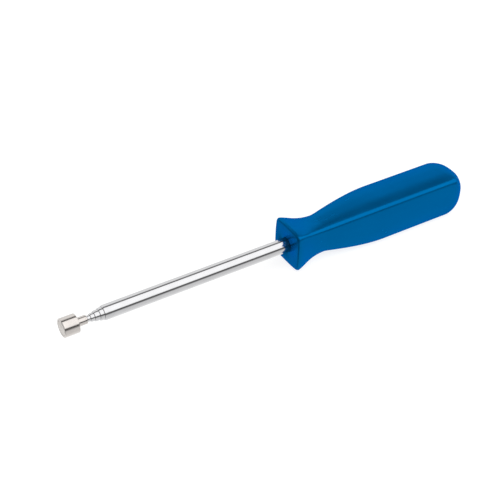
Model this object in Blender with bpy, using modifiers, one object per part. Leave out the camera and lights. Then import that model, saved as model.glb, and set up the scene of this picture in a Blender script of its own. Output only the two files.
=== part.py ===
"""Telescopic magnetic pick-up tool, closed, with a moulded square handle.

Five sections slide out of a fixed outer tube. Each section is held by two brass half sleeves that sit in a
groove at its inner end and rub on the bore round them, and each tube's front end is rolled in, so that the
sleeves can't come out. The last section is a solid rod that carries the magnet's housing.

World frame: +X runs along the tool from the magnet to the end of the handle, +Z is up, the handle lies on
the flat land of one side of its body at Z = 0, and the origin is below the middle of the closed tool's length.

Every piece is built on the tool's own axis. There, Z is the height above the handle's front face, towards
the magnet, and a turned piece's profile is a list of (radius, height) points.
"""

import math

import bmesh
import bpy
from mathutils import Matrix, Vector
from mathutils.geometry import interpolate_bezier

MM = 0.001

# Handle: a square section all the way, whose side and corner radius change along it. Its four sides are
# crowned: each bends by the crown angle from the narrow flat land along its middle to its corners.
HANDLE_LENGTH = 100.5 * MM
GUARD_SIDE = 20.95 * MM
GUARD_CORNER = 2.4 * MM
GUARD_EDGE = 1.2 * MM
GUARD_CROWN = math.radians(8.0)
WAIST_SIDE = 14.95 * MM
WAIST_CORNER = 2.1 * MM
WAIST_DEPTH = 17.3 * MM
BODY_SIDE = 22.0 * MM
BODY_CORNER = 2.4 * MM
BODY_CROWN = math.radians(12.0)
BODY_DEPTH = 51.5 * MM
LAND_WIDTH = 3.0 * MM
DOME_DEPTH = 89.6 * MM
DOME_POWER = 2.8
DOME_ROUNDING = 1.3

# How far the outline's curve handles reach, as shares of the length they lie in.
FLARE_AIM_DEPTH = 20.4 * MM
FLARE_PULL = 0.205
WAIST_PULL_FORWARD = 0.49
WAIST_PULL_BACK = 0.072
BODY_PULL = 0.45

# Tubes: each one is a millimetre smaller than the one round it.
OUTER_DIAMETER = 7.0 * MM
DIAMETER_STEP = 1.0 * MM
WALL = 0.2 * MM
OUTER_REACH = 96.0 * MM
OUTER_EMBEDDED = 25.0 * MM
LIP_CLEARANCE = 0.05 * MM
LIP_THICKNESS = 0.3 * MM
NOSE_LENGTH = 1.1 * MM

# How far each moving section shows beyond the one round it, from the second tube to the tip rod.
SECTION_NAMES = ("second_tube", "third_tube", "fourth_tube", "fifth_tube", "tip_rod")
SECTION_SHOWS = (1.95 * MM, 2.35 * MM, 1.85 * MM, 1.55 * MM, 0.0)
SECOND_TUBE_DEPTH = 1.0 * MM

# Sleeves and the groove that holds them.
SLEEVE_LENGTH = 6.0 * MM
SLEEVE_RUB = 0.24 * MM
SLEEVE_THICKNESS = 0.32 * MM
SLEEVE_ANGLE = math.radians(172.0)
SLEEVE_PLAY = 0.1 * MM
GROOVE_DEPTH = 0.12 * MM
REAR_RIM = 0.8 * MM
SECTION_STAGGER = 6.5 * MM

# Head.
NECK_DIAMETER = 4.2 * MM
NECK_LENGTH = 4.7 * MM
NECK_FILLET = 0.3 * MM
HEAD_DIAMETER = 8.9 * MM
HEAD_LENGTH = 7.1 * MM
HEAD_EDGE = 0.3 * MM
CUP_WALL = 0.85 * MM
MAGNET_THICKNESS = 4.0 * MM
FIT_GAP = 0.06 * MM
ROD_IN_NECK = 4.2 * MM

# Outer tube's inner end.
STOP_GROOVE_DEPTH = 0.6 * MM
STOP_GROOVE_LENGTH = 1.6 * MM
PLUG_LENGTH = 3.0 * MM
PLUG_CHAMFER = 0.3 * MM

TURN_STEPS = 32
SLEEVE_STEPS = 14
NOSE_STEPS = 4
CORNER_STEPS = 4
CROWN_STEPS = 2
FLARE_STATIONS = 9
SHOULDER_STATIONS = 11
DOME_STATIONS = 10

MERGE_DISTANCE = 1e-6
SHARP_ANGLE = math.radians(32.0)

FRONT_REACH = OUTER_REACH + sum(SECTION_SHOWS) + NECK_LENGTH + HEAD_LENGTH
FACE_X = (FRONT_REACH + HANDLE_LENGTH) / 2 - HANDLE_LENGTH
AXIS_HEIGHT = BODY_SIDE / 2

COLOURS = {
    "handle_plastic": ((0.0, 0.13, 0.38), 0.3, 0.0),
    "chrome": ((0.82, 0.82, 0.84), 0.08, 1.0),
    "nickel": ((0.66, 0.60, 0.54), 0.22, 1.0),
    "brass": ((0.78, 0.57, 0.28), 0.3, 1.0),
    "magnet_nickel": ((0.5, 0.47, 0.44), 0.3, 1.0),
}


def clear_scene():
    for old in list(bpy.data.objects):
        bpy.data.objects.remove(old, do_unlink=True)


def new_collection(name):
    collection = bpy.data.collections.new(name)
    bpy.context.scene.collection.children.link(collection)
    return collection


def principled(name, colour, roughness, metallic):
    material = bpy.data.materials.new(name)
    material.use_nodes = True
    shader = material.node_tree.nodes["Principled BSDF"]
    shader.inputs["Base Color"].default_value = (*colour, 1.0)
    shader.inputs["Roughness"].default_value = roughness
    shader.inputs["Metallic"].default_value = metallic
    return material


def add_empty(name, parent, height):
    """An empty on the tool's axis, which the pieces of one moving section hang from."""
    empty = bpy.data.objects.new(name, None)
    empty.empty_display_size = OUTER_DIAMETER
    PARTS.objects.link(empty)
    empty.parent = parent
    empty.location.z = height
    return empty


def add_piece(name, mesh, finish, parent):
    """One named piece with its own material."""
    mesh.materials.append(principled(name, *COLOURS[finish]))
    piece = bpy.data.objects.new(name, mesh)
    PARTS.objects.link(piece)
    piece.parent = parent
    return piece


def shade_round(mesh):
    mesh.shade_smooth()
    mesh.set_sharp_from_angle(angle=SHARP_ANGLE)


def turned(name, profile, finish, parent, closed):
    """A turned piece: its profile runs down the outer side, and back up the bore if it is closed."""
    count = len(profile)
    edges = [(index, index + 1) for index in range(count - 1)]
    if closed:
        edges.append((count - 1, 0))
    mesh = bpy.data.meshes.new(name)
    mesh.from_pydata([(radius, 0.0, height) for radius, height in profile], edges, [])
    add_screw(add_piece(name, mesh, finish, parent), 2 * math.pi, TURN_STEPS)


def add_screw(piece, angle, steps):
    screw = piece.modifiers.new("turn", "SCREW")
    screw.axis = "Z"
    screw.angle = angle
    screw.steps = steps
    screw.render_steps = steps
    screw.use_merge_vertices = angle >= 2 * math.pi
    screw.merge_threshold = MERGE_DISTANCE
    screw.use_smooth_shade = True


# Handle


def flare_and_shoulder():
    """(depth, half side) along the guard's flare, the waist and the shoulder, up to the straight body."""
    guard = Vector((GUARD_EDGE, GUARD_SIDE / 2))
    waist = Vector((WAIST_DEPTH, WAIST_SIDE / 2))
    body = Vector((BODY_DEPTH, BODY_SIDE / 2))
    shoulder_length = BODY_DEPTH - WAIST_DEPTH
    flare_handle = guard.lerp(Vector((FLARE_AIM_DEPTH, WAIST_SIDE / 2)), FLARE_PULL)
    waist_front_handle = waist - Vector((WAIST_PULL_FORWARD * WAIST_DEPTH, 0.0))
    waist_rear_handle = waist + Vector((WAIST_PULL_BACK * shoulder_length, 0.0))
    body_handle = body - Vector((BODY_PULL * shoulder_length, 0.0))
    flare = interpolate_bezier(guard, flare_handle, waist_front_handle, waist, FLARE_STATIONS)
    shoulder = interpolate_bezier(waist, waist_rear_handle, body_handle, body, SHOULDER_STATIONS)
    return list(flare) + list(shoulder)[1:]


def between(first, second, share):
    return first + share * (second - first)


def guard_edge():
    """(depth, half side, corner radius, crown, half land) round the edge of the guard's front face."""
    stations = []
    for angle in (0.0, math.pi / 4):
        inset = GUARD_EDGE * (1 - math.sin(angle))
        depth = GUARD_EDGE * (1 - math.cos(angle))
        stations.append((depth, GUARD_SIDE / 2 - inset, GUARD_CORNER, GUARD_CROWN, LAND_WIDTH / 2))
    return stations


def flare_and_shoulder_stations():
    """(depth, half side, corner radius, crown, half land) from behind the guard's edge to the body."""
    stations = []
    for depth, half in flare_and_shoulder():
        flare = min(depth / WAIST_DEPTH, 1.0)
        shoulder = max((depth - WAIST_DEPTH) / (BODY_DEPTH - WAIST_DEPTH), 0.0)
        corner = between(between(GUARD_CORNER, WAIST_CORNER, flare), BODY_CORNER, shoulder)
        stations.append((depth, half, corner, between(GUARD_CROWN, BODY_CROWN, flare), LAND_WIDTH / 2))
    return stations


def dome_stations():
    """(depth, half side, corner radius, crown, half land) of the end, which turns from square to round."""
    stations = []
    for step in range(DOME_STATIONS):
        along = math.sin(step / DOME_STATIONS * math.pi / 2)
        half = BODY_SIDE / 2 * (1 - along ** DOME_POWER) ** (1 / DOME_POWER)
        squareness = 1 - along ** DOME_ROUNDING
        corner = half * (1 - squareness * (1 - 2 * BODY_CORNER / BODY_SIDE))
        land = squareness * LAND_WIDTH / 2 * half / (BODY_SIDE / 2)
        stations.append((between(DOME_DEPTH, HANDLE_LENGTH, along), half, corner, BODY_CROWN, land))
    return stations


def crowned_square(depth, half, corner, full_crown, land):
    """The points of one section of the handle, anticlockwise as the magnet sees it."""
    crown = full_crown * (1 - (corner / half) ** 3)
    rise = 1 - math.cos(crown)
    crown_radius = half - land - corner * (math.cos(crown) - math.sin(crown))
    crown_radius /= rise + math.sin(crown)
    reach = half - crown_radius * rise - corner * math.cos(crown)
    arcs = (
        ((half - crown_radius, land), crown_radius, 0.0, crown, CROWN_STEPS),
        ((reach, reach), corner, crown, math.pi / 2 - crown, CORNER_STEPS),
        ((land, half - crown_radius), crown_radius, math.pi / 2 - crown, math.pi / 2, CROWN_STEPS),
    )
    quarter = [Vector((half, land))]
    for centre, radius, start, end, steps in arcs:
        for step in range(1, steps + 1):
            angle = between(start, end, step / steps)
            quarter.append(Vector(centre) + radius * Vector((math.cos(angle), math.sin(angle))))
    points = []
    for turns in range(4):
        turn = Matrix.Rotation(turns * math.pi / 2, 2)
        points += [(*(turn @ point), -depth) for point in quarter]
    return points


def handle_mesh():
    """A loft through the handle's sections, with a flat front face and a fan of faces at the pole."""
    shape = bmesh.new()
    rings = []
    for station in guard_edge() + flare_and_shoulder_stations() + dome_stations():
        rings.append([shape.verts.new(point) for point in crowned_square(*station)])
    count = len(rings[0])
    for upper, lower in zip(rings, rings[1:]):
        for index in range(count):
            after = (index + 1) % count
            shape.faces.new((upper[index], lower[index], lower[after], upper[after]))
    shape.faces.new(rings[0])
    pole = shape.verts.new((0.0, 0.0, -HANDLE_LENGTH))
    for index in range(count):
        shape.faces.new((rings[-1][index], pole, rings[-1][(index + 1) % count]))
    mesh = bpy.data.meshes.new("handle")
    shape.to_mesh(mesh)
    shape.free()
    shade_round(mesh)
    return mesh


def socket_cutter(parent):
    """The bore that the outer tube is moulded into, as a cutter that starts in front of the face."""
    depth = OUTER_EMBEDDED + FIT_GAP
    bpy.ops.mesh.primitive_cylinder_add(
        vertices=TURN_STEPS, radius=OUTER_DIAMETER / 2 + FIT_GAP, depth=2 * depth
    )
    cutter = bpy.context.object
    cutter.name = "socket_cutter"
    for collection in list(cutter.users_collection):
        collection.objects.unlink(cutter)
    CUTTERS.objects.link(cutter)
    cutter.parent = parent
    cutter.hide_render = True
    cutter.display_type = "WIRE"
    return cutter


def make_handle(axis):
    handle = add_piece("handle", handle_mesh(), "handle_plastic", axis)
    cut = handle.modifiers.new("socket", "BOOLEAN")
    cut.operation = "DIFFERENCE"
    cut.solver = "EXACT"
    cut.object = socket_cutter(axis)


# Tubes and rod


def rolled_nose(radius, front):
    """The outer side of a tube's rolled-in front end, from the lip out to the full radius."""
    lip = radius - DIAMETER_STEP / 2 + LIP_CLEARANCE
    points = []
    for step in range(NOSE_STEPS + 1):
        angle = step / NOSE_STEPS * math.pi / 2
        across = lip + (radius - lip) * math.sin(angle)
        points.append((across, front - NOSE_LENGTH * (1 - math.cos(angle))))
    return points


def nose_bore(radius, front):
    """The inside of the rolled-in front end, from the bore up to the lip."""
    lip = radius - DIAMETER_STEP / 2 + LIP_CLEARANCE
    return [(radius - WALL, front - NOSE_LENGTH - WALL / 2), (lip, front - LIP_THICKNESS)]


def sleeve_groove(radius, rear, overlap):
    """The groove for the sleeves, going down the outer side; overlap makes it longer at both ends."""
    bottom = rear + REAR_RIM - overlap
    top = rear + REAR_RIM + SLEEVE_LENGTH + 2 * SLEEVE_PLAY + overlap
    return [(radius, top), (radius - GROOVE_DEPTH, top), (radius - GROOVE_DEPTH, bottom), (radius, bottom)]


def moving_tube_profile(radius, front, rear):
    outside = rolled_nose(radius, front) + sleeve_groove(radius, rear, 0.0)
    bore = radius - WALL
    inside = [(bore, rear)] + sleeve_groove(bore, rear, WALL)[::-1] + nose_bore(radius, front)
    return outside + [(radius, rear)] + inside


def rod_profile(radius, front, rear):
    return [(0.0, front), (radius, front)] + sleeve_groove(radius, rear, 0.0) + [(radius, rear), (0.0, rear)]


def make_outer_tube(axis):
    """The fixed tube. A groove rolled into it just inside the handle stops the second tube."""
    radius = OUTER_DIAMETER / 2
    bore = radius - WALL
    rear = -OUTER_EMBEDDED
    groove_top = -SECOND_TUBE_DEPTH - SLEEVE_PLAY
    groove_middle = groove_top - STOP_GROOVE_LENGTH / 2
    groove_bottom = groove_top - STOP_GROOVE_LENGTH
    outside = rolled_nose(radius, OUTER_REACH)
    outside += [(radius, groove_top), (radius - STOP_GROOVE_DEPTH, groove_middle), (radius, groove_bottom)]
    inside = [(bore, groove_bottom), (bore - STOP_GROOVE_DEPTH, groove_middle), (bore, groove_top)]
    profile = outside + [(radius, rear), (bore, rear)] + inside + nose_bore(radius, OUTER_REACH)
    turned("outer_tube", profile, "chrome", axis, closed=True)


def make_tube_end_plug(axis):
    """A plug pressed into the outer tube's inner end."""
    radius = OUTER_DIAMETER / 2 - WALL - FIT_GAP
    top = PLUG_LENGTH - OUTER_EMBEDDED
    profile = [
        (0.0, top),
        (radius - PLUG_CHAMFER, top),
        (radius, top - PLUG_CHAMFER),
        (radius, -OUTER_EMBEDDED),
        (0.0, -OUTER_EMBEDDED),
    ]
    turned("tube_end_plug", profile, "brass", axis, closed=False)


def make_sleeve(name, radius, rear, turn, parent):
    """One half sleeve: an open half cylinder, thickened inwards."""
    outer = radius + SLEEVE_RUB
    bottom = rear + REAR_RIM + SLEEVE_PLAY
    mesh = bpy.data.meshes.new(name)
    mesh.from_pydata([(outer, 0.0, bottom + SLEEVE_LENGTH), (outer, 0.0, bottom)], [(0, 1)], [])
    sleeve = add_piece(name, mesh, "brass", parent)
    sleeve.rotation_euler.z = turn
    add_screw(sleeve, SLEEVE_ANGLE, SLEEVE_STEPS)
    shell = sleeve.modifiers.new("thickness", "SOLIDIFY")
    shell.thickness = SLEEVE_THICKNESS
    shell.offset = -1.0


def make_section(index, front, rear, parent):
    """One moving section with its two sleeves, hung from an empty at its front end."""
    name = SECTION_NAMES[index]
    radius = (OUTER_DIAMETER - (index + 1) * DIAMETER_STEP) / 2
    joint = add_empty(name + "_joint", parent, front)
    length = front - rear
    if name == "tip_rod":
        turned(name, rod_profile(radius, 0.0, -length), "chrome", joint, closed=False)
    else:
        turned(name, moving_tube_profile(radius, 0.0, -length), "chrome", joint, closed=True)
    for letter, turn in (("a", 0.0), ("b", math.pi)):
        make_sleeve(name + "_sleeve_" + letter, radius, -length, turn, joint)
    return joint


# Head


def make_head(parent, neck_rear):
    """The cup with its neck, and the magnet flush with the cup's rim. The neck is bored for the tip rod."""
    neck = NECK_DIAMETER / 2
    head = HEAD_DIAMETER / 2
    head_rear = neck_rear + NECK_LENGTH
    front = head_rear + HEAD_LENGTH
    recess = head - CUP_WALL
    floor = front - MAGNET_THICKNESS - FIT_GAP
    rod_bore = OUTER_DIAMETER / 2 - len(SECTION_NAMES) * DIAMETER_STEP / 2 + FIT_GAP
    bore_end = neck_rear + ROD_IN_NECK + FIT_GAP
    profile = [
        (0.0, floor),
        (recess, floor),
        (recess, front),
        (head - HEAD_EDGE, front),
        (head, front - HEAD_EDGE),
        (head, head_rear + HEAD_EDGE),
        (head - HEAD_EDGE, head_rear),
        (neck + NECK_FILLET, head_rear),
        (neck, head_rear - NECK_FILLET),
        (neck, neck_rear + NECK_FILLET),
        (neck - NECK_FILLET, neck_rear),
        (rod_bore, neck_rear),
        (rod_bore, bore_end),
        (0.0, bore_end),
    ]
    turned("magnet_housing", profile, "nickel", parent, closed=False)
    radius = recess - FIT_GAP
    magnet_profile = [(0.0, front), (radius, front), (radius, front - MAGNET_THICKNESS)]
    magnet_profile.append((0.0, front - MAGNET_THICKNESS))
    turned("magnet", magnet_profile, "magnet_nickel", parent, closed=False)


def build_tool():
    axis = add_empty("tool_axis", None, 0.0)
    axis.location = (FACE_X, 0.0, AXIS_HEIGHT)
    axis.rotation_euler.y = -math.pi / 2
    make_handle(axis)
    make_outer_tube(axis)
    make_tube_end_plug(axis)
    front = OUTER_REACH
    rear = -SECOND_TUBE_DEPTH
    joint = None
    for index, shows in enumerate(SECTION_SHOWS):
        front += shows
        is_rod = index == len(SECTION_SHOWS) - 1
        section_front = front + ROD_IN_NECK if is_rod else front
        joint = make_section(index, section_front, rear, axis)
        rear += SECTION_STAGGER
    make_head(joint, -ROD_IN_NECK)


clear_scene()
PARTS = new_collection("magnetic_pick_up_tool")
CUTTERS = new_collection("cutters")
build_tool()
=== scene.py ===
"""Looks of the telescopic magnetic pick-up tool: fine meshes and materials round the fixed frame."""

import math

import bmesh
import bpy
from mathutils import Matrix, Vector
from mathutils.geometry import interpolate_bezier


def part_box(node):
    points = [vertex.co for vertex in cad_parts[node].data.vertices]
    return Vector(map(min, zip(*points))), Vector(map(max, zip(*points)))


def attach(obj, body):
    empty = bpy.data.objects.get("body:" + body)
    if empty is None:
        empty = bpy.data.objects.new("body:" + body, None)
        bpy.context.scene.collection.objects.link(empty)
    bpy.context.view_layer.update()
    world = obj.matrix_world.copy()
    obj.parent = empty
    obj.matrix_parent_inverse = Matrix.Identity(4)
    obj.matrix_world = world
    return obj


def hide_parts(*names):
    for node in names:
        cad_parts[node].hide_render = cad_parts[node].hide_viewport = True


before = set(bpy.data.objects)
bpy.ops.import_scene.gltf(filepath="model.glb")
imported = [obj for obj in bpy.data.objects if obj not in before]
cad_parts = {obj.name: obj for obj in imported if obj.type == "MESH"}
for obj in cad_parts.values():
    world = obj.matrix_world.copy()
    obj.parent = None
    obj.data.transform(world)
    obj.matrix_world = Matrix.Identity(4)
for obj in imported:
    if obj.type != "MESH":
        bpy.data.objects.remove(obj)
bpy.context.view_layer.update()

MM = 0.001

# Places and sizes that the frame gives.
HANDLE_LOW, HANDLE_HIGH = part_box("handle")
TUBE_LOW, TUBE_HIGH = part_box("outer_tube")
AXIS_Z = (TUBE_LOW.z + TUBE_HIGH.z) / 2
FACE_X = HANDLE_LOW.x
HANDLE_LENGTH = HANDLE_HIGH.x - HANDLE_LOW.x
BODY_SIDE = HANDLE_HIGH.z - HANDLE_LOW.z

# Handle details, as in the CAD.
GUARD_SIDE = 20.95 * MM
GUARD_CORNER = 2.4 * MM
GUARD_EDGE = 1.2 * MM
GUARD_CROWN = math.radians(8.0)
WAIST_SIDE = 14.95 * MM
WAIST_CORNER = 2.1 * MM
WAIST_DEPTH = 17.3 * MM
BODY_CORNER = 2.4 * MM
BODY_CROWN = math.radians(12.0)
BODY_DEPTH = 51.5 * MM
LAND_WIDTH = 3.0 * MM
DOME_DEPTH = 89.6 * MM
DOME_POWER = 2.8
DOME_ROUNDING = 1.3
FLARE_AIM_DEPTH = 20.4 * MM
FLARE_PULL = 0.205
WAIST_PULL_FORWARD = 0.49
WAIST_PULL_BACK = 0.072
BODY_PULL = 0.45

# Handle details that only show here: the socket's mouth and the mark that the mould's gate leaves.
SOCKET_CLEARANCE = 0.03 * MM
SOCKET_CHAMFER = 0.25 * MM
GATE_RADIUS = 1.8 * MM
GATE_RECESS = 0.25 * MM
GATE_STEPS = (0.15, 0.5, 1.0)
GATE_TAPER = 0.15

# Tube details, as in the CAD.
WALL = 0.2 * MM
RADIUS_STEP = 0.5 * MM
LIP_CLEARANCE = 0.05 * MM
LIP_THICKNESS = 0.3 * MM
NOSE_LENGTH = 1.1 * MM
REAR_RIM = 0.8 * MM
GROOVE_LENGTH = 6.2 * MM
GROOVE_DEPTH = 0.12 * MM
STOP_GROOVE_DEPTH = 0.6 * MM
STOP_GROOVE_LENGTH = 1.6 * MM
STOP_GROOVE_START = 1.1 * MM

# Head details: its neck as in the CAD, and the fine grooves at both ends of the neck that only show here.
NECK_RADIUS = 2.1 * MM
NECK_LENGTH = 4.7 * MM
ROD_BORE = 1.05 * MM
ROD_BORE_LENGTH = 4.25 * MM
NECK_GROOVE_DEPTH = 0.18 * MM
NECK_GROOVE_WIDTH = 0.3 * MM
RING_FROM_REAR = 0.9 * MM
RING_WIDTH = 0.2 * MM
RING_DEPTH = 0.1 * MM
MAGNET_GAP = 0.04 * MM
CUP_FLOOR_GAP = 0.05 * MM

# Small roundings of turned pieces.
FINE = 0.05 * MM
SOFT = 0.1 * MM
EDGE = 0.2 * MM
BROAD = 0.3 * MM

# Mesh fineness.
AROUND = 96
ARC_STEPS = 8
CORNER_STEPS = 14
CROWN_STEPS = 6
FLARE_STATIONS = 28
SHOULDER_STATIONS = 36
DOME_STATIONS = 44
SUPPORT_GAP = 0.12 * MM
RIM_ROUNDING = 0.06 * MM
SMALL = 1e-9

FLOOR_HALF = 4.0
FLOOR_DROP = 0.1 * MM

# Camera: where it looks, from which way, how far away, and its lens.
CAMERA_AIM = Vector((FACE_X - 19.0 * MM, 2.05 * MM, AXIS_Z + 2.96 * MM))
CAMERA_AZIMUTH = -32.8
CAMERA_ELEVATION = 38.7
CAMERA_ROLL = 1.7
CAMERA_DISTANCE = 555.6 * MM
CAMERA_LENS = 86.4

# Brightness of the studio round the tool's axis, as (degrees from -Y over +Z, level): white below, a broad
# softbox in front and above, a dimmer one behind, and a gap on each side of the broad one.
DOME_LEVELS = (
    (-180, 1.0),
    (-90, 1.25),
    (-45, 1.05),
    (-12, 1.0),
    (0, 0.3),
    (8, 0.15),
    (20, 0.15),
    (28, 1.65),
    (60, 1.75),
    (104, 1.65),
    (108, 0.2),
    (121, 0.2),
    (140, 1.3),
    (180, 1.1),
)

# The softboxes don't reach the end that the tool points at, which is dim: how far a direction leans that way.
DIM_END = -0.78
DIM_START = -0.52
DIM_LEVEL = 0.15


# Mesh helpers


def new_object(name, mesh, material):
    mesh.materials.append(material)
    made = bpy.data.objects.new(name, mesh)
    bpy.context.scene.collection.objects.link(made)
    return made


def finish_mesh(name, shape, sharp_degrees=40.0):
    bmesh.ops.recalc_face_normals(shape, faces=shape.faces)
    mesh = bpy.data.meshes.new(name)
    shape.to_mesh(mesh)
    shape.free()
    mesh.shade_smooth()
    mesh.set_sharp_from_angle(angle=math.radians(sharp_degrees))
    return mesh


def filleted(points, radius, closed=False):
    """A polyline with its corners rounded off; a point with its own third value uses that as its radius."""
    count = len(points)
    rounded = []
    for index, point in enumerate(points):
        here = Vector(point[:2])
        size = point[2] if len(point) > 2 else radius
        at_end = not closed and index in (0, count - 1)
        if at_end or size == 0:
            rounded.append(here)
            continue
        before = Vector(points[index - 1][:2]) - here
        after = Vector(points[(index + 1) % count][:2]) - here
        reach = min(size, 0.45 * before.length, 0.45 * after.length)
        start = here + before.normalized() * reach
        end = here + after.normalized() * reach
        for step in range(ARC_STEPS + 1):
            share = step / ARC_STEPS
            rounded.append(start.lerp(here, share).lerp(here.lerp(end, share), share))
    return rounded


def supported(points):
    """The profile with a point close to both ends of each long run, so that shading stays crisp there."""
    held = [points[0]]
    for before, after in zip(points, points[1:]):
        run = (after - before).length
        if run > 3 * SUPPORT_GAP:
            held.append(before.lerp(after, SUPPORT_GAP / run))
            held.append(after.lerp(before, SUPPORT_GAP / run))
        held.append(after)
    return held


def turned_mesh(name, profile, closed):
    """A mesh turned about the tool's axis from (x, radius) points."""
    points = [Vector(point[:2]) for point in profile]
    if closed:
        points.append(points[0])
    shape = bmesh.new()
    rings = []
    for x, radius in supported(points):
        if radius < SMALL:
            rings.append([shape.verts.new((x, 0.0, AXIS_Z))] * AROUND)
            continue
        ring = []
        for step in range(AROUND):
            angle = step / AROUND * 2 * math.pi
            ring.append(shape.verts.new((x, radius * math.cos(angle), AXIS_Z + radius * math.sin(angle))))
        rings.append(ring)
    if closed:
        bmesh.ops.delete(shape, geom=rings.pop(), context="VERTS")
        rings.append(rings[0])
    for first, second in zip(rings, rings[1:]):
        for index in range(AROUND):
            after = (index + 1) % AROUND
            corners = [first[index], first[after], second[after], second[index]]
            corners = [corner for place, corner in enumerate(corners) if corner is not corners[place - 1]]
            if len(corners) > 2:
                shape.faces.new(corners)
    return finish_mesh(name, shape)


# Node helpers


class Nodes:
    """A short way to write one material's node tree."""

    def __init__(self, name):
        self.material = bpy.data.materials.new(name)
        self.material.use_nodes = True
        self.tree = self.material.node_tree
        self.shader = self.tree.nodes["Principled BSDF"]
        self.place = self.add("ShaderNodeTexCoord").outputs["Object"]

    def add(self, kind, **settings):
        node = self.tree.nodes.new(kind)
        for key, value in settings.items():
            setattr(node, key, value)
        return node

    def link(self, source, target):
        self.tree.links.new(source, target)

    def noise(self, scale, stretch=(1.0, 1.0, 1.0), detail=4.0, roughness=0.55):
        """Noise in the object's own coordinates, whose scale is in cycles a metre."""
        mapping = self.add("ShaderNodeMapping")
        mapping.inputs["Scale"].default_value = stretch
        self.link(self.place, mapping.inputs["Vector"])
        noise = self.add("ShaderNodeTexNoise")
        noise.inputs["Scale"].default_value = scale
        noise.inputs["Detail"].default_value = detail
        noise.inputs["Roughness"].default_value = roughness
        self.link(mapping.outputs["Vector"], noise.inputs["Vector"])
        return noise.outputs["Fac"]

    def remap(self, value, low, high, start=0.3, end=0.7):
        """value, spread from its usual range start to end over low to high."""
        node = self.add("ShaderNodeMapRange")
        node.inputs["From Min"].default_value = start
        node.inputs["From Max"].default_value = end
        node.inputs["To Min"].default_value = low
        node.inputs["To Max"].default_value = high
        self.link(value, node.inputs["Value"])
        return node.outputs["Result"]

    def mix(self, factor, first, second):
        node = self.add("ShaderNodeMix", data_type="RGBA")
        self.link(factor, node.inputs["Factor"])
        for socket, colour in (("A", first), ("B", second)):
            target = [s for s in node.inputs if s.name == socket and s.type == "RGBA"][0]
            if isinstance(colour, tuple):
                target.default_value = (*colour, 1.0)
            else:
                self.link(colour, target)
        return [s for s in node.outputs if s.type == "RGBA"][0]

    def bump(self, height, distance, strength=1.0, below=None):
        node = self.add("ShaderNodeBump")
        node.inputs["Strength"].default_value = strength
        node.inputs["Distance"].default_value = distance
        self.link(height, node.inputs["Height"])
        if below is not None:
            self.link(below, node.inputs["Normal"])
        return node.outputs["Normal"]

    def set(self, **values):
        for key, value in values.items():
            socket = self.shader.inputs[key.replace("_", " ")]
            if isinstance(value, bpy.types.NodeSocket):
                self.link(value, socket)
            elif isinstance(value, tuple):
                socket.default_value = (*value, 1.0)
            else:
                socket.default_value = value


# Materials


def handle_plastic():
    """Blue moulded plastic: a satin gloss with faint flow marks, a fine skin and a few rubbed patches. The
    metallic share stands in for a deeply tinted gloss, whose highlights are blue and not white."""
    made = Nodes("handle_plastic")
    flow = made.noise(55.0, (0.35, 1.0, 1.0), 3.0)
    colour = made.mix(made.remap(flow, 0.0, 1.0), (0.0, 0.102, 0.285), (0.0, 0.112, 0.312))
    rubbed = made.noise(140.0, (0.6, 1.0, 1.0), 6.0)
    skin = made.noise(2600.0, detail=2.0)
    normal = made.bump(skin, 0.000012, 0.5)
    made.set(Base_Color=colour, Roughness=made.remap(rubbed, 0.2, 0.28), Normal=normal)
    made.shader.inputs["Metallic"].default_value = 0.65
    made.shader.inputs["Specular IOR Level"].default_value = 0.0
    made.shader.inputs["Specular Tint"].default_value = (0.0, 0.5, 1.0, 1.0)
    return made.material


def bright_plate(name, colour, low, high):
    """Bright plating on a drawn tube: faint lines along it and a slightly uneven polish."""
    made = Nodes(name)
    drawn = made.noise(900.0, (0.02, 1.0, 1.0), 3.0)
    smudge = made.noise(160.0, detail=5.0)
    tint = made.mix(made.remap(smudge, 0.0, 1.0), colour, tuple(0.94 * part for part in colour))
    normal = made.bump(drawn, 0.000004, 0.4)
    made.set(Base_Color=tint, Metallic=1.0, Roughness=made.remap(smudge, low, high), Normal=normal)
    return made.material


def turned_metal(name, colour, darker, low, high, rings=1.0):
    """Metal finished on a lathe: fine rings round it, and a duller patch here and there."""
    made = Nodes(name)
    lathe = made.noise(2400.0, (1.0, 0.02, 0.02), 3.0)
    worn = made.noise(220.0, detail=6.0)
    tint = made.mix(made.remap(worn, 0.0, 1.0), colour, darker)
    normal = made.bump(lathe, 0.000006 * rings, 0.5)
    made.set(Base_Color=tint, Metallic=1.0, Roughness=made.remap(worn, low, high), Normal=normal)
    return made.material


def ground_face():
    """The magnet's ground and plated face: crossing fine scratches."""
    made = Nodes("magnet_nickel")
    across = made.noise(1500.0, (1.0, 0.05, 1.0), 4.0)
    along = made.noise(1200.0, (1.0, 1.0, 0.06), 4.0)
    worn = made.noise(300.0, detail=6.0)
    tint = made.mix(made.remap(worn, 0.0, 1.0), (0.56, 0.53, 0.5), (0.44, 0.41, 0.38))
    normal = made.bump(across, 0.000006, 0.5)
    normal = made.bump(along, 0.000006, 0.4, normal)
    made.set(Base_Color=tint, Metallic=1.0, Roughness=made.remap(worn, 0.2, 0.34), Normal=normal)
    return made.material


# Handle


def between(first, second, share):
    return first + share * (second - first)


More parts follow.
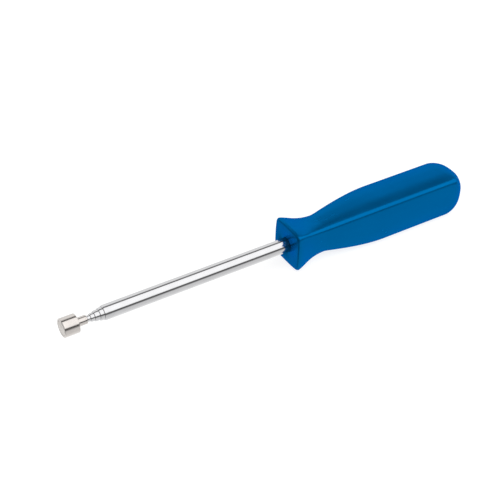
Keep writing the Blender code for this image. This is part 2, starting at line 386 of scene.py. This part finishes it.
def flare_and_shoulder():
    """(depth, half side) along the guard's flare, the waist and the shoulder, up to the straight body."""
    guard = Vector((GUARD_EDGE, GUARD_SIDE / 2))
    waist = Vector((WAIST_DEPTH, WAIST_SIDE / 2))
    body = Vector((BODY_DEPTH, BODY_SIDE / 2))
    shoulder_length = BODY_DEPTH - WAIST_DEPTH
    flare_handle = guard.lerp(Vector((FLARE_AIM_DEPTH, WAIST_SIDE / 2)), FLARE_PULL)
    waist_front_handle = waist - Vector((WAIST_PULL_FORWARD * WAIST_DEPTH, 0.0))
    waist_rear_handle = waist + Vector((WAIST_PULL_BACK * shoulder_length, 0.0))
    body_handle = body - Vector((BODY_PULL * shoulder_length, 0.0))
    flare = interpolate_bezier(guard, flare_handle, waist_front_handle, waist, FLARE_STATIONS)
    shoulder = interpolate_bezier(waist, waist_rear_handle, body_handle, body, SHOULDER_STATIONS)
    return list(flare) + list(shoulder)[1:]


def front_stations():
    """(depth, half side, corner radius, crown, half land) of each section, from the face to the body."""
    stations = []
    for step in range(ARC_STEPS):
        angle = step / ARC_STEPS * math.pi / 2
        inset = GUARD_EDGE * (1 - math.sin(angle))
        depth = GUARD_EDGE * (1 - math.cos(angle))
        stations.append((depth, GUARD_SIDE / 2 - inset, GUARD_CORNER, GUARD_CROWN, LAND_WIDTH / 2))
    for depth, half in flare_and_shoulder():
        flare = min(depth / WAIST_DEPTH, 1.0)
        shoulder = max((depth - WAIST_DEPTH) / (BODY_DEPTH - WAIST_DEPTH), 0.0)
        corner = between(between(GUARD_CORNER, WAIST_CORNER, flare), BODY_CORNER, shoulder)
        stations.append((depth, half, corner, between(GUARD_CROWN, BODY_CROWN, flare), LAND_WIDTH / 2))
    return stations


def dome_station(along):
    """One section of the end, which turns from square to round; along runs from 0 to 1 at the pole."""
    half = BODY_SIDE / 2 * (1 - along ** DOME_POWER) ** (1 / DOME_POWER)
    squareness = 1 - along ** DOME_ROUNDING
    corner = half * (1 - squareness * (1 - 2 * BODY_CORNER / BODY_SIDE))
    land = squareness * LAND_WIDTH / 2 * half / (BODY_SIDE / 2)
    return between(DOME_DEPTH, HANDLE_LENGTH, along), half, corner, BODY_CROWN, land


def dome_stations():
    """The end's sections, from the body to the rim of the gate's mark, and down into the mark."""
    last = (1 - (2 * GATE_RADIUS / BODY_SIDE) ** DOME_POWER) ** (1 / DOME_POWER)
    stations = []
    for step in range(DOME_STATIONS + 1):
        angle = step / DOME_STATIONS * math.asin(last)
        stations.append(dome_station(math.sin(angle)))
    depth, half, corner, crown, land = stations[-1]
    for share in GATE_STEPS:
        size = 1 - GATE_TAPER * share
        stations.append((depth - share * GATE_RECESS, size * half, size * corner, crown, size * land))
    return stations


def crowned_square(half, corner, full_crown, land):
    """The (y, z) points of one section of the handle about the axis."""
    crown = full_crown * (1 - (corner / half) ** 3)
    rise = 1 - math.cos(crown)
    crown_radius = half - land - corner * (math.cos(crown) - math.sin(crown))
    crown_radius /= rise + math.sin(crown)
    reach = half - crown_radius * rise - corner * math.cos(crown)
    arcs = (
        ((half - crown_radius, land), crown_radius, 0.0, crown, CROWN_STEPS),
        ((reach, reach), corner, crown, math.pi / 2 - crown, CORNER_STEPS),
        ((land, half - crown_radius), crown_radius, math.pi / 2 - crown, math.pi / 2, CROWN_STEPS),
    )
    quarter = [Vector((half, land))]
    for centre, radius, start, end, steps in arcs:
        for step in range(1, steps + 1):
            angle = between(start, end, step / steps)
            quarter.append(Vector(centre) + radius * Vector((math.cos(angle), math.sin(angle))))
    points = []
    for turns in range(4):
        turn = Matrix.Rotation(turns * math.pi / 2, 2)
        points += [turn @ point for point in quarter]
    return points


def socket_profile():
    """(x, radius) of the socket for the tube, from its chamfered mouth to its bottom."""
    radius = (TUBE_HIGH.z - TUBE_LOW.z) / 2 + SOCKET_CLEARANCE
    bottom = TUBE_HIGH.x + SOCKET_CLEARANCE
    outline = [
        (FACE_X, radius + SOCKET_CHAMFER),
        (FACE_X + SOCKET_CHAMFER, radius),
        (bottom, radius),
    ]
    return supported(filleted(outline, SOFT))


def make_handle():
    """The moulding, as one loft from the socket's bottom over the face and along the body to the pole."""
    shape = bmesh.new()
    outside = []
    for depth, *section in front_stations() + dome_stations():
        places = [(FACE_X + depth, y, AXIS_Z + z) for y, z in crowned_square(*section)]
        outside.append([shape.verts.new(place) for place in places])
    ways = [Vector((0.0, vert.co.y, vert.co.z - AXIS_Z)).normalized() for vert in outside[0]]
    axis = Vector((0.0, 0.0, AXIS_Z))
    inside = []
    for x, radius in socket_profile():
        inside.append([shape.verts.new(axis + Vector((x, 0.0, 0.0)) + radius * way) for way in ways])
    rings = inside[::-1] + outside
    count = len(ways)
    for first, second in zip(rings, rings[1:]):
        for index in range(count):
            after = (index + 1) % count
            shape.faces.new((first[index], first[after], second[after], second[index]))
    for ring in (rings[0], rings[-1]):
        pole = shape.verts.new((ring[0].co.x, 0.0, AXIS_Z))
        for index in range(count):
            shape.faces.new((ring[index], ring[(index + 1) % count], pole))
    handle = new_object("handle_moulding", finish_mesh("handle_moulding", shape, 50.0), handle_plastic())
    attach(handle, "grip")
    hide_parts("handle")


# Tubes, rod and head


def nose(front, radius):
    """The rolled-in front end, from the inside of the lip over the nose to the full radius."""
    lip = radius - RADIUS_STEP + LIP_CLEARANCE
    points = [(front + NOSE_LENGTH + WALL / 2, radius - WALL), (front + LIP_THICKNESS, lip)]
    for step in range(2 * ARC_STEPS + 1):
        angle = step / (2 * ARC_STEPS) * math.pi / 2
        across = lip + (radius - lip) * math.sin(angle)
        points.append((front + NOSE_LENGTH * (1 - math.cos(angle)), across))
    return points


def groove(radius, rear, depth, overlap):
    """The (x, radius) corners of the groove that holds the sleeves, overlap longer at each end."""
    front_edge = rear - REAR_RIM - GROOVE_LENGTH - overlap
    rear_edge = rear - REAR_RIM + overlap
    floor = radius - depth
    return [(front_edge, radius), (front_edge, floor), (rear_edge, floor), (rear_edge, radius)]


def make_tube(node, body, material, is_outer=False):
    low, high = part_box(node)
    radius = (high.z - low.z) / 2
    bore = radius - WALL
    outside = nose(low.x, radius)
    if is_outer:
        middle = FACE_X + STOP_GROOVE_START + STOP_GROOVE_LENGTH / 2
        half = STOP_GROOVE_LENGTH / 2
        outside += [(middle - half, radius), (middle, radius - STOP_GROOVE_DEPTH), (middle + half, radius)]
        inside = [(middle + half, bore), (middle, bore - STOP_GROOVE_DEPTH), (middle - half, bore)]
    else:
        outside += filleted(groove(radius, high.x, GROOVE_DEPTH, 0.0), FINE)
        inside = filleted(groove(bore, high.x, GROOVE_DEPTH, WALL)[::-1], FINE)
    rim = filleted([outside[-1], (high.x, radius), (high.x, bore), inside[0]], RIM_ROUNDING)
    profile = list(outside) + rim[1:-1] + list(inside)
    piece = new_object(node + "_drawn", turned_mesh(node + "_drawn", profile, True), material)
    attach(piece, body)
    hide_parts(node)


def make_rod(material):
    low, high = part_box("tip_rod")
    radius = (high.z - low.z) / 2
    start = [(low.x, 0.0), (low.x, radius, EDGE)]
    outline = start + groove(radius, high.x, GROOVE_DEPTH, 0.0) + [(high.x, radius, EDGE), (high.x, 0.0)]
    profile = filleted(outline, FINE)
    piece = new_object("tip_rod_drawn", turned_mesh("tip_rod_drawn", profile, False), material)
    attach(piece, "tip_rod")
    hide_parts("tip_rod")


def cup_outline(low, high, magnet_low, magnet_high):
    """(x, radius, rounding) of the head, from the floor of the magnet's recess to that of the rod's bore."""
    head = (high.z - low.z) / 2
    recess = (magnet_high.z - magnet_low.z) / 2 + MAGNET_GAP
    recess_floor = magnet_high.x + CUP_FLOOR_GAP
    head_rear = high.x - NECK_LENGTH
    groove_end = head_rear + NECK_GROOVE_WIDTH
    ring_start = high.x - RING_FROM_REAR
    ring_end = ring_start + RING_WIDTH
    bore_floor = high.x - ROD_BORE_LENGTH
    return [
        (recess_floor, 0.0),
        (recess_floor, recess, SOFT),
        (low.x, recess, 0.8 * SOFT),
        (low.x, head, 0.35 * MM),
        (head_rear, head, BROAD),
        (head_rear, NECK_RADIUS - NECK_GROOVE_DEPTH, RIM_ROUNDING),
        (groove_end, NECK_RADIUS - NECK_GROOVE_DEPTH, RIM_ROUNDING),
        (groove_end, NECK_RADIUS, 2 * RIM_ROUNDING),
        (ring_start, NECK_RADIUS, FINE),
        (ring_start, NECK_RADIUS - RING_DEPTH, FINE),
        (ring_end, NECK_RADIUS - RING_DEPTH, FINE),
        (ring_end, NECK_RADIUS, FINE),
        (high.x, NECK_RADIUS, BROAD),
        (high.x, ROD_BORE, SOFT),
        (bore_floor, ROD_BORE, FINE),
        (bore_floor, 0.0),
    ]


def make_head():
    low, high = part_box("magnet_housing")
    magnet_low, magnet_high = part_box("magnet")
    outline = cup_outline(low, high, magnet_low, magnet_high)
    nickel = turned_metal("head_nickel", (0.56, 0.53, 0.505), (0.51, 0.48, 0.46), 0.11, 0.17)
    cup = new_object("magnet_cup", turned_mesh("magnet_cup", filleted(outline, FINE), False), nickel)
    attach(cup, "tip_rod")
    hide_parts("magnet_housing")
    radius = (magnet_high.z - magnet_low.z) / 2
    disc = [
        (magnet_low.x, 0.0),
        (magnet_low.x, radius, BROAD),
        (magnet_high.x, radius, EDGE),
        (magnet_high.x, 0.0),
    ]
    magnet = new_object("magnet_disc", turned_mesh("magnet_disc", filleted(disc, SOFT), False), ground_face())
    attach(magnet, "tip_rod")
    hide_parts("magnet")


def dress_inner_pieces():
    brass = turned_metal("sleeve_brass", (0.78, 0.56, 0.27), (0.66, 0.45, 0.2), 0.25, 0.4, 0.6)
    for name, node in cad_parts.items():
        if "sleeve" in name or name == "tube_end_plug":
            node.data.materials.clear()
            node.data.materials.append(brass)


# Studio


def make_world():
    """A studio dome round the tool's axis, from DOME_LEVELS, with a dim end in front of the tool."""
    world = bpy.data.worlds.new("studio")
    bpy.context.scene.world = world
    world.use_nodes = True
    tree = world.node_tree
    way = tree.nodes.new("ShaderNodeTexCoord").outputs["Generated"]
    split = tree.nodes.new("ShaderNodeSeparateXYZ")
    tree.links.new(way, split.inputs[0])
    toward = tree.nodes.new("ShaderNodeMath")
    toward.operation = "MULTIPLY"
    toward.inputs[1].default_value = -1.0
    tree.links.new(split.outputs["Y"], toward.inputs[0])
    angle = tree.nodes.new("ShaderNodeMath")
    angle.operation = "ARCTAN2"
    tree.links.new(split.outputs["Z"], angle.inputs[0])
    tree.links.new(toward.outputs[0], angle.inputs[1])
    share = tree.nodes.new("ShaderNodeMapRange")
    share.inputs["From Min"].default_value = -math.pi
    share.inputs["From Max"].default_value = math.pi
    tree.links.new(angle.outputs[0], share.inputs["Value"])
    ramp = tree.nodes.new("ShaderNodeValToRGB")
    elements = ramp.color_ramp.elements
    while len(elements) < len(DOME_LEVELS):
        elements.new(0.5)
    for element, (degrees, level) in zip(elements, DOME_LEVELS):
        element.position = (degrees + 180) / 360
        element.color = (level, level, level, 1.0)
    tree.links.new(share.outputs["Result"], ramp.inputs["Fac"])
    tree.links.new(ramp.outputs["Color"], tree.nodes["Background"].inputs["Color"])
    dimming = tree.nodes.new("ShaderNodeMapRange")
    dimming.inputs["From Min"].default_value = DIM_END
    dimming.inputs["From Max"].default_value = DIM_START
    dimming.inputs["To Min"].default_value = DIM_LEVEL
    tree.links.new(split.outputs["X"], dimming.inputs["Value"])
    tree.links.new(dimming.outputs["Result"], tree.nodes["Background"].inputs["Strength"])


def make_floor():
    """A plain white sheet, which glows a little so that the shadow on it stays faint."""
    made = Nodes("floor_paper")
    grain = made.noise(500.0, detail=3.0)
    made.set(Base_Color=made.mix(grain, (0.26, 0.26, 0.26), (0.28, 0.28, 0.28)), Roughness=0.9)
    made.shader.inputs["Specular IOR Level"].default_value = 0.0
    made.shader.inputs["Emission Color"].default_value = (1.0, 1.0, 1.0, 1.0)
    made.shader.inputs["Emission Strength"].default_value = 0.82
    mesh = bpy.data.meshes.new("floor")
    corners = [(-1, -1), (1, -1), (1, 1), (-1, 1)]
    places = [(x * FLOOR_HALF, y * FLOOR_HALF, -FLOOR_DROP) for x, y in corners]
    mesh.from_pydata(places, [], [(0, 1, 2, 3)])
    floor = new_object("floor", mesh, made.material)
    floor.visible_glossy = False


def make_camera():
    azimuth, elevation = math.radians(CAMERA_AZIMUTH), math.radians(CAMERA_ELEVATION)
    back = Vector(
        (
            math.sin(azimuth) * math.cos(elevation),
            -math.cos(azimuth) * math.cos(elevation),
            math.sin(elevation),
        )
    )
    data = bpy.data.cameras.new("camera")
    data.lens = CAMERA_LENS
    camera = bpy.data.objects.new("camera", data)
    bpy.context.scene.collection.objects.link(camera)
    turn = (-back).to_track_quat("-Z", "Y").to_matrix() @ Matrix.Rotation(math.radians(CAMERA_ROLL), 3, "Z")
    camera.matrix_world = Matrix.Translation(CAMERA_AIM + back * CAMERA_DISTANCE) @ turn.to_4x4()
    bpy.context.scene.camera = camera
    bpy.context.scene.view_settings.view_transform = "Standard"


make_camera()
make_world()
make_floor()
make_handle()
chrome = bright_plate("tube_chrome", (0.56, 0.56, 0.57), 0.08, 0.14)
make_tube("outer_tube", "grip", chrome, is_outer=True)
for section in ("second_tube", "third_tube", "fourth_tube", "fifth_tube"):
    make_tube(section, section, chrome)
make_rod(bright_plate("rod_steel", (0.55, 0.55, 0.56), 0.1, 0.15))
make_head()
dress_inner_pieces()
